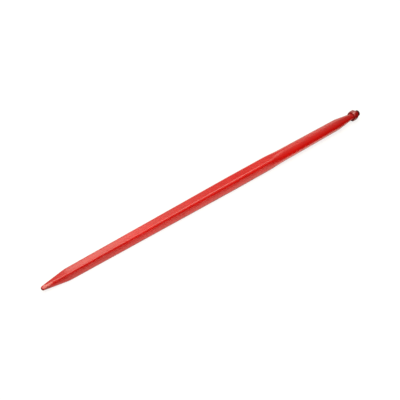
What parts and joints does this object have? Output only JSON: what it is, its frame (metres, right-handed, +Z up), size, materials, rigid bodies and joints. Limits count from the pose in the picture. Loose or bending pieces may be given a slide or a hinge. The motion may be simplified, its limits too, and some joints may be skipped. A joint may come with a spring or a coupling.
{
  "type": "bale spear",
  "caption": "Long forged bale spear with a tapered square bar, a blunt point and a round tapered seat, held in its socket by a hexagon nut on a threaded shank.",
  "frame": {"origin": "centre of the large end of the round tapered seat, on the spear's axis", "axes": "+X along the spear towards its point, +Z up as the spear lies on the ground, Y to the side"},
  "size_m": [1.245, 0.0386, 0.0386],
  "materials": {
    "spear_enamel": "gloss red enamel over forged steel",
    "nut_enamel": "gloss red enamel over steel, a little darker and thicker"
  },
  "bodies": {
    "root": {"spear": "spear_enamel", "hex_nut": "nut_enamel"}
  },
  "joints": []
}
